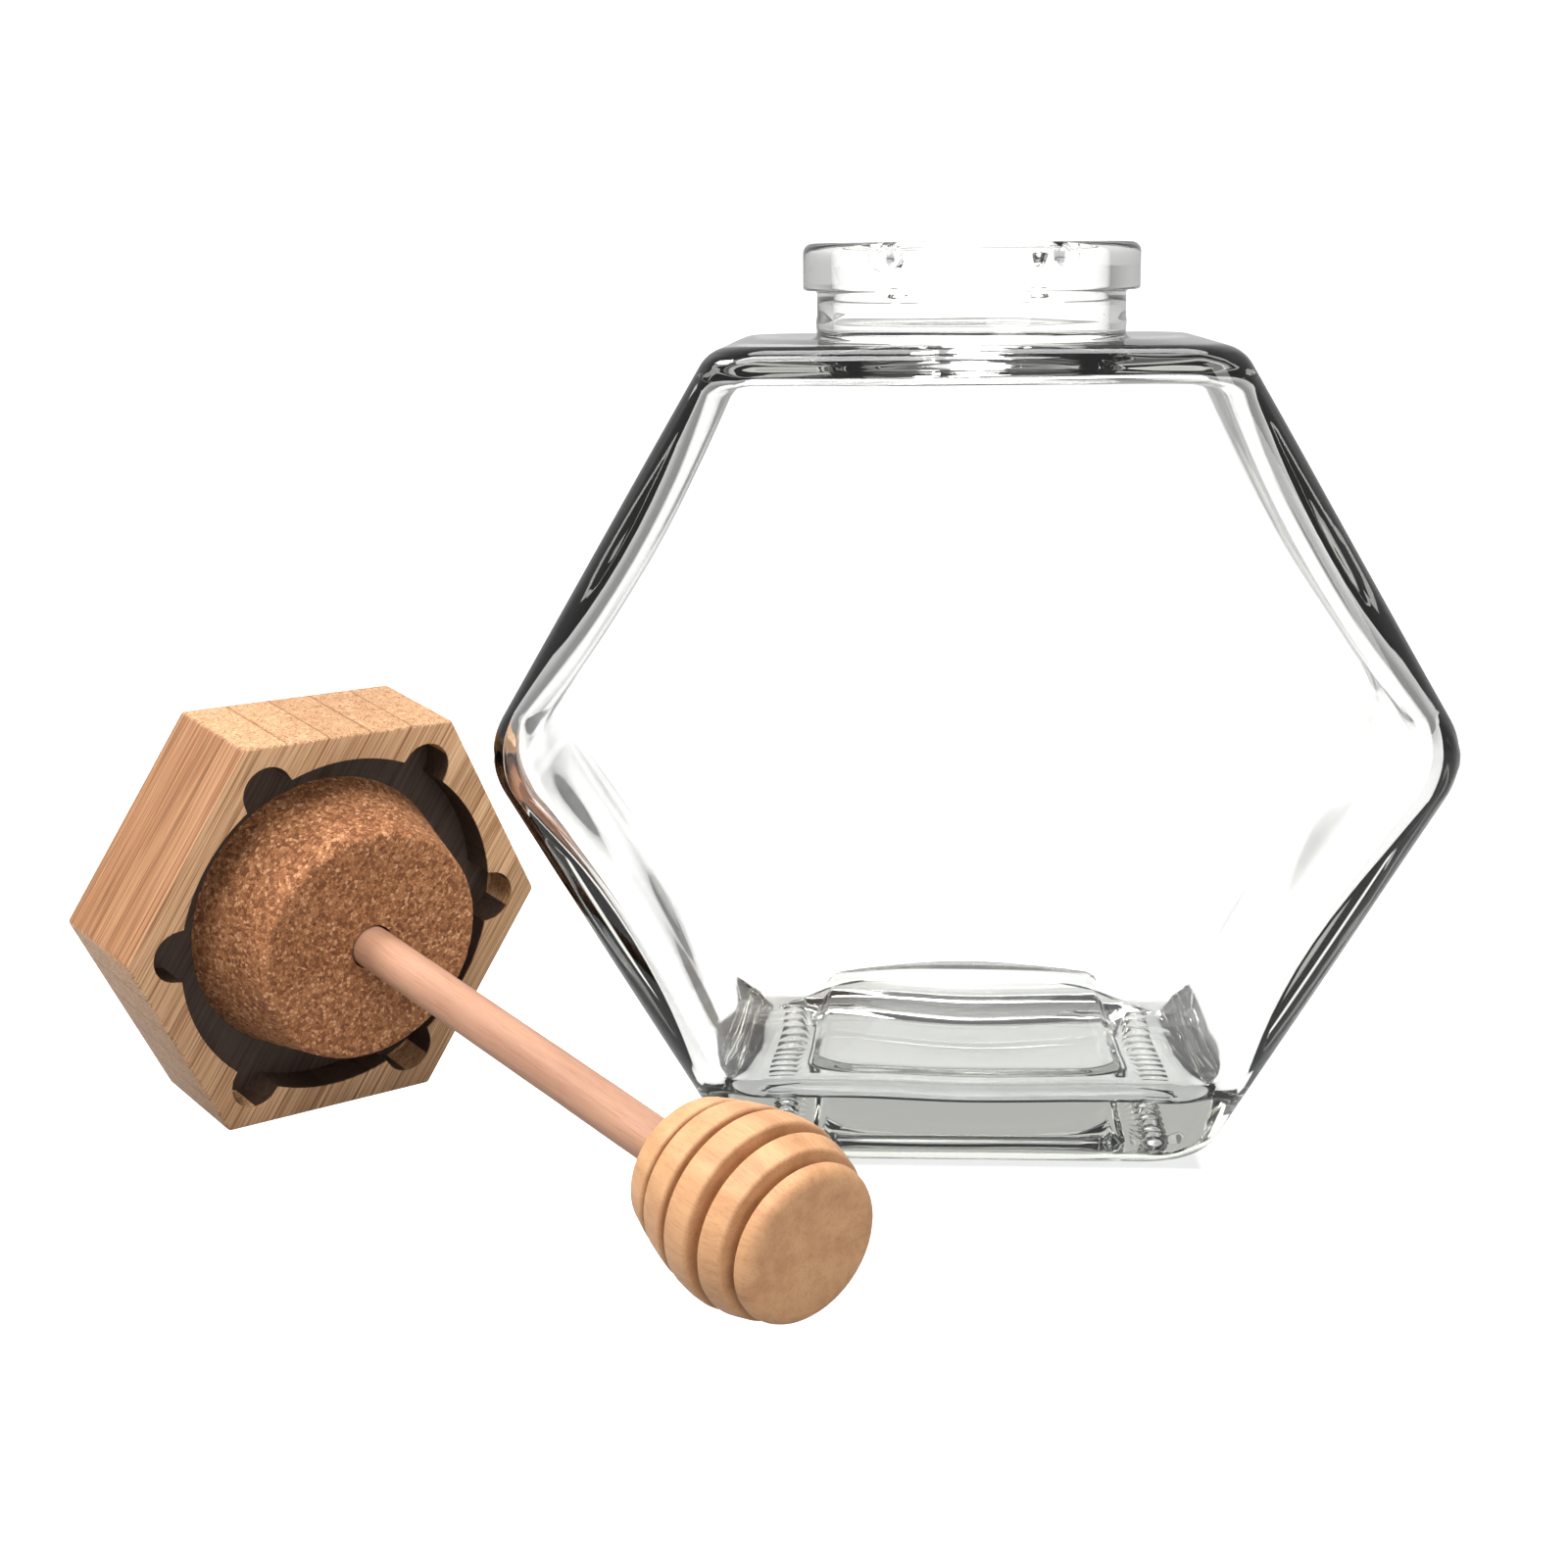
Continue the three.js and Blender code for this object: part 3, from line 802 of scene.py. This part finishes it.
# %% Sizes and colours of the bamboo
WHITE = (1, 1, 1)
STRIP_WIDTH = 5.1
STRIP_SHIFT = 40.0  # how far apart along the grain two strips can have come from
JOINT_WIDTH = 0.045  # share of a strip that the glue line darkens at each side
BUNDLES_PER_MM = (0.03, 1.35, 1.35)
BUNDLE_RADIUS = (0.16, 0.34)  # from where to where a bundle fades, in its own cell
GRAIN_TURN = math.radians(120)  # from the lid's corner that points sideways to the direction of the fibres
RIM_BAND = 0.2  # the underside, down to here, isn't darkened like the recess

WOOD_TONES = [(0.3, (0.48, 0.26, 0.13)), (0.5, (0.61, 0.375, 0.208)), (0.7, (0.69, 0.46, 0.275))]
FIBRE_LINES = [(0.4, (0.5, 0.4, 0.3)), (0.52, WHITE)]
STRIP_TONES = [(0, (0.74, 0.7, 0.66)), (1, WHITE)]
DARK_FIBRE = (0.45, 0.3, 0.2)
SIDE_SHADE_PAINTED = (0.84, 0.83, 0.83)  # painted shade: how much darker the strips get towards one side of the block
RECESS_SHADE_AND_CUT = (0.09, 0.085, 0.1)  # the recess is darkened: partly painted shade, partly wood that the cutter darkened

# %% Strips, fibres and bundles
bamboo, tree = new_material("bamboo")
place = lid_coordinates(tree, (0, 0, GRAIN_TURN))
split = add(tree, "ShaderNodeSeparateXYZ", {"Vector": place})
strip_place = maths(tree, "DIVIDE", split.outputs["Y"], STRIP_WIDTH)
strip_number = maths(tree, "FLOOR", strip_place)
strip_tone = add(tree, "ShaderNodeTexWhiteNoise", {"W": strip_number}, noise_dimensions="1D")
joint = map_range(tree, maths(tree, "PINGPONG", strip_place, 0.5), 0.0, JOINT_WIDTH, 1.0, 0.0)
along = maths(tree, "MULTIPLY", strip_tone.outputs["Value"], STRIP_SHIFT)
shift = add(tree, "ShaderNodeCombineXYZ", {"X": along})
own = add(tree, "ShaderNodeVectorMath", {0: place, 1: shift.outputs[0]}, operation="ADD").outputs[0]
broad = grain_streaks(tree, own, 40, 1.0)
fine = grain_streaks(tree, own, 22, 0.22)
bundle_place = multiply_vectors(tree, own, BUNDLES_PER_MM)
bundles = add(tree, "ShaderNodeTexVoronoi", {"Vector": bundle_place, "Scale": 1.0})
bundle = map_range(tree, bundles.outputs["Distance"], *BUNDLE_RADIUS, 1.0, 0.0)

# %% Bamboo material
wood = ramp(tree, broad, WOOD_TONES)
wood = multiply_colour(tree, 0.95, wood, ramp(tree, fine, FIBRE_LINES))
wood = multiply_colour(tree, maths(tree, "MULTIPLY", bundle, 0.55), wood, DARK_FIBRE)
wood = multiply_colour(tree, 1.0, wood, ramp(tree, strip_tone.outputs["Value"], STRIP_TONES))
wood = multiply_colour(tree, maths(tree, "MULTIPLY", joint, 0.85), wood, DARK_FIBRE)
# painted shade: the bamboo is darkened across the block towards one side
side_shade_share = map_range(tree, split.outputs["Y"], -LID_FLAT, LID_FLAT)
wood = multiply_colour(tree, side_shade_share, wood, SIDE_SHADE_PAINTED)
# painted shade, with the cutter's darker wood: the recess is darkened inside the rim band
both_squared = [squared(tree, split.outputs[axis]) for axis in ("X", "Y")]
from_axis = maths(tree, "SQRT", maths(tree, "ADD", *both_squared))
in_recess = maths(tree, "LESS_THAN", from_axis, LID_FLAT - 0.1)
below_rim = maths(tree, "GREATER_THAN", split.outputs["Z"], RIM_BAND)
above_floor = maths(tree, "LESS_THAN", split.outputs["Z"], LID_THICKNESS / 2)
recess_shade_mask = maths(tree, "MULTIPLY", in_recess, maths(tree, "MULTIPLY", below_rim, above_floor))
wood = multiply_colour(tree, recess_shade_mask, wood, RECESS_SHADE_AND_CUT)
relief = maths(tree, "SUBTRACT", fine, maths(tree, "MULTIPLY", bundle, 0.3))
bare_surface(tree, wood, relief, rough=0.55, shine=0.35, strength=0.35, distance=0.0002)
print("nodes of the bamboo:", len(tree.nodes))

# %% Cork material
GRANULES_PER_M = 2200
GRANULE_TONES = [
    (0.0, (0.16, 0.058, 0.023)),
    (0.4, (0.3, 0.125, 0.052)),
    (0.8, (0.4, 0.175, 0.075)),
    (1, (0.56, 0.29, 0.15)),
]
GRANULE_EDGES = [(0.0, (0.45, 0.4, 0.36)), (0.12, WHITE)]
SPECK_TONES = [(0.3, (0.35, 0.3, 0.28)), (0.42, WHITE), (0.62, WHITE), (0.7, (1.5, 1.5, 1.4))]

cork, tree = new_material("cork")
where = add(tree, "ShaderNodeTexCoord")
granule_place = add(
    tree,
    "ShaderNodeMapping",
    {"Vector": where.outputs["Object"], "Scale": (GRANULES_PER_M, GRANULES_PER_M, GRANULES_PER_M)},
)
in_granules = {"Vector": granule_place.outputs[0], "Scale": 1.0}
granules = add(tree, "ShaderNodeTexVoronoi", in_granules)
edges = add(tree, "ShaderNodeTexVoronoi", in_granules, feature="DISTANCE_TO_EDGE")
granule_tone = add(tree, "ShaderNodeSeparateColor", {"Color": granules.outputs["Color"]})
specks = add(tree, "ShaderNodeTexNoise", {**in_granules, "Scale": 2.1, "Detail": 3.0, "Roughness": 0.6})
base = ramp(tree, granule_tone.outputs["Red"], GRANULE_TONES)
base = multiply_colour(tree, 0.9, base, ramp(tree, edges.outputs["Distance"], GRANULE_EDGES))
base = multiply_colour(tree, 1.0, base, ramp(tree, specks.outputs["Fac"], SPECK_TONES))
edge_height = maths(tree, "MULTIPLY", edges.outputs["Distance"], 0.6)
height = maths(tree, "ADD", specks.outputs["Fac"], edge_height)
bare_surface(tree, base, height, rough=0.85, shine=0.25, strength=0.45, distance=0.0004)
print("nodes of the cork:", len(tree.nodes))

# %% Turned wood
ROD_TONES = [(0.3, (0.3, 0.155, 0.1)), (0.5, (0.37, 0.2, 0.128)), (0.7, (0.43, 0.235, 0.15))]
HEAD_TONES = [(0.3, (0.4, 0.2, 0.095)), (0.5, (0.49, 0.265, 0.13)), (0.7, (0.55, 0.31, 0.16))]
PORE_TONES = [(0.34, (0.8, 0.72, 0.66)), (0.5, WHITE)]


def turned_wood(name, tones, rough):
    """Bare close-grained wood: pale, with slow clouds of colour and short fine pores along the axis."""
    material, tree = new_material(name)
    place = lid_coordinates(tree, (0, math.pi / 2, 0))
    pores = grain_streaks(tree, place, 5, 0.28)
    grain = grain_streaks(tree, place, 36, 3.0)
    colour = multiply_colour(tree, 0.6, ramp(tree, grain, tones), ramp(tree, pores, PORE_TONES))
    bare_surface(tree, colour, pores, rough, shine=0.3, strength=0.25, distance=0.00015)
    return material


rod_wood = turned_wood("rod_wood", ROD_TONES, 0.6)
head_wood = turned_wood("head_wood", HEAD_TONES, 0.55)

# %% [markdown]
# ## The lid
# The underside of the lid is a ring of faces between two loops with the same number of points: the hexagon
# outside and the scalloped recess inside. Both loops are circles whose points are moved in or out, and the
# bridge operator joins them. Then the inner loop is pushed in for the recess, the outer one up for the sides,
# and the outer arrises are bevelled.

# %% Outlines of the lid
RECESS_RADIUS = 22.2
RECESS_DEPTH = 5
SCALLOP_RADIUS = 3.4
SCALLOP_OUT = 22.4  # from the middle of the lid to the middle of a scallop
LOOP_POINTS = 360


def hexagon_reach(angle):
    away = (angle % math.radians(60)) - math.radians(30)
    return LID_FLAT / math.cos(away)


def recess_reach(angle):
    """The far side of the round recess or of the scallop that the direction meets."""
    away = (angle + math.radians(30)) % math.radians(60) - math.radians(30)
    reach = RECESS_RADIUS
    miss = SCALLOP_OUT * math.sin(away)
    if abs(miss) < SCALLOP_RADIUS:
        reach = max(reach, SCALLOP_OUT * math.cos(away) + math.sqrt(SCALLOP_RADIUS**2 - miss**2))
    return reach


def outline_loop(bm, reach):
    """A loop of points in the plane z = 0 whose distance from the middle is a function of the angle."""
    loop = bmesh.ops.create_circle(bm, segments=LOOP_POINTS, radius=1, cap_ends=False)["verts"]
    for vert in loop:
        vert.co *= reach(math.atan2(vert.co.y, vert.co.x))
    return list({edge for vert in loop for edge in vert.link_edges})


def push_loop(bm, edges, distance):
    """Extrudes a loop straight up and returns its new edges."""
    made = bmesh.ops.extrude_edge_only(bm, edges=edges)["geom"]
    verts = [item for item in made if isinstance(item, bmesh.types.BMVert)]
    bmesh.ops.translate(bm, verts=verts, vec=(0, 0, distance))
    return [item for item in made if isinstance(item, bmesh.types.BMEdge)]


# %% The lid's block
ARRIS = 0.4

lid_mesh = bmesh.new()
outside = outline_loop(lid_mesh, hexagon_reach)
recess = outline_loop(lid_mesh, recess_reach)
bmesh.ops.bridge_loops(lid_mesh, edges=outside + recess)
floor_edges = push_loop(lid_mesh, recess, RECESS_DEPTH)
bmesh.ops.edgeloop_fill(lid_mesh, edges=floor_edges)
top_edges = push_loop(lid_mesh, outside, LID_THICKNESS)
bmesh.ops.edgeloop_fill(lid_mesh, edges=top_edges)
corner_edges = []
for edge in lid_mesh.edges:
    first, second = (vert.co for vert in edge.verts)
    upright = abs(first.z - second.z) > LID_THICKNESS / 2
    if upright and first.xy.length > LID_RADIUS - 0.01:
        corner_edges.append(edge)
bmesh.ops.bevel(
    lid_mesh,
    geom=outside + top_edges + corner_edges,
    offset=ARRIS,
    offset_type="OFFSET",
    affect="EDGES",
    segments=3,
    profile=0.5,
    material=-1,
    clamp_overlap=True,
)
print("corners of the lid:", len(corner_edges))
hand_over(lid_mesh, "lid_of_bamboo", lid_to_row, bamboo, "bamboo_lid", arris=35)

# %% [markdown]
# ## Pieces that are round
# The cork, the rod and the head are all round about the lid's axis. Each is an outline that is spun once
# around. The outline is given as distance from the underside of the lid and radius.


# %% Spin an outline
def spun(outline, segments):
    """A closed body from an outline of distance and radius, whose two ends are on the axis."""
    bm = bmesh.new()
    spin_row(bm, [(radius, 0, -along) for along, radius in outline], segments)
    close_ends(bm)
    return bm


def between(start, end, steps):
    """Points after the start and up to the end."""
    return [
        (start[0] + (end[0] - start[0]) * i / steps, start[1] + (end[1] - start[1]) * i / steps)
        for i in range(1, steps + 1)
    ]


# %% Sizes of the cork and of the rod
CORK_BASE_RADIUS = 18.2
CORK_END_RADIUS = 15.2
CORK_REACH = 7.5
CORK_CHAMFER = 0.6
CORK_CELL = 0.4  # length of a face's side
CORK_ROUGHNESS = 0.06
CORK_WORN = 0.02
CORK_LUMPS = (1.1, 2.7)  # how many there are in a millimetre, of the large and of the small ones
SMALL_LUMPS = 0.6  # height of the small ones, as a share of the large ones
ROD_RADIUS = 2.65
ROD_SUNK = 8
ROD_IN_HEAD = 9
END_GAP = 0.3  # what is left beyond each end of the rod
GLUE_GAP = 0.26  # what shows between the rod and the cork that it is stuck in

# %% The cork
hole = ROD_RADIUS + GLUE_GAP
cork_base = (-RECESS_DEPTH + 0.02, CORK_BASE_RADIUS)
cork_shoulder = (CORK_REACH - CORK_CHAMFER, CORK_END_RADIUS)
cork_rim = (CORK_REACH, CORK_END_RADIUS - CORK_CHAMFER)
cork_outline = [(cork_base[0], 0), cork_base]
cork_outline += between(cork_base, cork_shoulder, round((CORK_REACH + RECESS_DEPTH) / CORK_CELL))
cork_outline += between(cork_shoulder, cork_rim, 3)
cork_outline += between(cork_rim, (CORK_REACH, hole), round((CORK_END_RADIUS - hole) / CORK_CELL))
cork_outline += [(CORK_REACH - 1, hole), (CORK_REACH - ROD_SUNK, hole), (CORK_REACH - ROD_SUNK, 0)]
cork_mesh = spun(cork_outline, round(2 * math.pi * CORK_END_RADIUS / CORK_CELL))
cork_mesh.normal_update()
for vert in cork_mesh.verts:
    if vert.co.xy.length > hole + 0.1 and vert.co.z < RECESS_DEPTH - 0.3:
        large, small = (noise.noise(vert.co * lumps) for lumps in CORK_LUMPS)
        vert.co += vert.normal * (CORK_ROUGHNESS * (large + SMALL_LUMPS * small) - CORK_WORN)
hand_over(cork_mesh, "plug_of_cork", lid_to_row, cork, "cork_stopper", arris=50)

# %% The rod
ROD_WOBBLE = 0.012  # how uneven its radius is, as a share of it
ROD_WOBBLE_LENGTH = 6

rod_start = CORK_REACH - ROD_SUNK + END_GAP
rod_end = HEAD_START + ROD_IN_HEAD
rod_outline = [(rod_start, 0), (rod_start, ROD_RADIUS)]
rod_outline += between((rod_start, ROD_RADIUS), (rod_end, ROD_RADIUS), 60) + [(rod_end, 0)]
rod_mesh = spun(rod_outline, 48)
for vert in rod_mesh.verts:
    vert.co.xy *= 1 + ROD_WOBBLE * noise.noise(vert.co / ROD_WOBBLE_LENGTH)
hand_over(rod_mesh, "rod_of_dipper", lid_to_row, rod_wood, "dipper_rod", arris=50)

# %% The head
head_hole = ROD_RADIUS + 0.05
hole_end = HEAD_START + ROD_IN_HEAD + END_GAP
front = HEAD_START + HEAD_LENGTH
front_radius = barrel_radius(HEAD_LENGTH - HEAD_END_ROUND) - HEAD_END_ROUND
whole_head = [(hole_end, 0), (hole_end, head_hole), (HEAD_START, head_hole)]
whole_head += head_outline() + between((front, front_radius), (front, 0), 6)
head_mesh = spun(whole_head, 128)
hand_over(head_mesh, "head_of_dipper", lid_to_row, head_wood, "dipper_head", arris=40)

# %% [markdown]
# ## Light
# The jar is shot the way glass is: in front of a bright white field, with darker sides that draw its edges.
# Only light that has gone through glass sees the sides darker, so that the picture stays white from every
# side. The field also loses brightness with each reflection in the glass.
# The floor glows like the field, so that it is white around the pieces, and a shade is painted into its glow
# and its paper where the foot of the jar stands. Four lamps light the wood: from the left, from the front,
# from above, and a weak one from the right that fills the shadows.

# %% How bright the white field is
FIELD = 1.35
FIELD_SIDES = 0.6  # beside, above and behind the picture, as glass shows them
FIELD_AFTER_MIRROR = 0.45  # share of its brightness that is left after each reflection in glass
FIELD_AHEAD = (0.4, 0.9)  # how far a look points to the back, where the sides end and the field starts
FIELD_ON_WOOD = 0.1
FLOOR_ON_WOOD = 0.06


def blend_numbers(tree, factor, first, second):
    return add(tree, "ShaderNodeMix", {"Factor": factor, "A": first, "B": second}).outputs[0]


def field_level(tree, white, on_wood):
    """Brightness of the field: full when looked at, weaker in each reflection, low as light on wood."""
    path = add(tree, "ShaderNodeLightPath")
    dimmed = maths(tree, "POWER", FIELD_AFTER_MIRROR, path.outputs["Glossy Depth"])
    shown = maths(tree, "MULTIPLY", white, dimmed)
    return blend_numbers(tree, path.outputs["Is Diffuse Ray"], shown, on_wood)


# %% The floor
FLOOR_HALF = 4  # metres
FLOOR_GAP = 0.00005  # metres between the floor and what stands on it

floor_bm = bmesh.new()
bmesh.ops.create_grid(floor_bm, x_segments=1, y_segments=1, size=FLOOR_HALF)
floor_data = bpy.data.meshes.new("floor")
floor_bm.to_mesh(floor_data)
floor_bm.free()
floor = bpy.data.objects.new("floor", floor_data)
floor.location.z = -FLOOR_GAP
bpy.context.scene.collection.objects.link(floor)

# %% The floor's paper
PAPER_TONE = 0.25  # what the paper throws back of the lamps' light
SHADE_PAINTED_UNDER_JAR = 0.42  # painted shade: share of the floor's glow and paper tone that is left under the glass foot
FOOT_SHADE = (0.96, 1.1)  # where that shade ends and where the floor is white, in halves of the jar's foot

floor_white, tree = new_material("floor_white")
where = add(tree, "ShaderNodeTexCoord")
from_jar = add(
    tree,
    "ShaderNodeMapping",
    {
        "Vector": where.outputs["Object"],
        "Location": jar_middle,
        "Scale": (FOOT_HALF * MM, BODY_DEPTH / 2 * MM, 1),
    },
    vector_type="TEXTURE",
)
sides = add(tree, "ShaderNodeSeparateXYZ", {"Vector": from_jar.outputs[0]})
outs = [maths(tree, "ABSOLUTE", sides.outputs[axis]) for axis in ("X", "Y")]
# painted shade: the floor is greyer under the jar's foot
shade = map_range(tree, maths(tree, "MAXIMUM", *outs), *FOOT_SHADE, SHADE_PAINTED_UNDER_JAR)
paper_tone = maths(tree, "MULTIPLY", shade, PAPER_TONE)
greys = {channel: paper_tone for channel in ("Red", "Green", "Blue")}
paper_colour = add(tree, "ShaderNodeCombineColor", greys)
paper = add(tree, "ShaderNodeBsdfDiffuse", {"Color": paper_colour.outputs[0]})
glow_level = maths(tree, "MULTIPLY", field_level(tree, FIELD, FLOOR_ON_WOOD), shade)
glow = add(tree, "ShaderNodeEmission", {"Color": (1, 1, 1, 1), "Strength": glow_level})
both = add(tree, "ShaderNodeAddShader", {0: paper.outputs[0], 1: glow.outputs[0]})
output_surface(tree, both.outputs[0])
floor_data.materials.append(floor_white)

# %% The white field
world = bpy.data.worlds.new("white_field")
bpy.context.scene.world = world
world.use_nodes = True
tree = world.node_tree
tree.nodes.clear()
look = add(tree, "ShaderNodeTexCoord")
ahead = add(tree, "ShaderNodeSeparateXYZ", {"Vector": look.outputs["Generated"]})
field = map_range(tree, ahead.outputs["Y"], *FIELD_AHEAD, FIELD_SIDES, FIELD)
path = add(tree, "ShaderNodeLightPath")
bent = maths(tree, "MINIMUM", path.outputs["Transmission Depth"], 1.0)
sky_level = field_level(tree, blend_numbers(tree, bent, FIELD, field), FIELD_ON_WOOD)
sky = add(tree, "ShaderNodeBackground", {"Color": (1, 1, 1, 1), "Strength": sky_level})
add(tree, "ShaderNodeOutputWorld", {"Surface": sky.outputs[0]})


# %% Lamps
LAMP_AIM = Vector((-0.04, 0, 0.03))  # between the lid and the jar, in metres
LAMPS = (  # name, place in metres, size in metres and power in watts
    ("left", Vector((-0.45, -0.1, 0.6)), 0.3, 5.2),
    ("front", Vector((-0.12, -0.42, 0.62)), 0.4, 4.8),
    ("top", Vector((0.05, 0.05, 0.75)), 0.4, 3.4),
    ("fill", Vector((0.45, -0.85, 0.3)), 0.6, 4),
)

for name, place, size, power in LAMPS:
    data = bpy.data.lights.new(name, "AREA")
    data.shape = "DISK"
    data.size = size
    data.energy = power
    item = bpy.data.objects.new(name, data)
    item.location = place
    item.rotation_euler = (LAMP_AIM - place).to_track_quat("-Z", "Y").to_euler()
    bpy.context.scene.collection.objects.link(item)
print("lamps:", [name for name, _, _, _ in LAMPS])

# %% How the picture is developed
bpy.context.scene.view_settings.view_transform = "Standard"
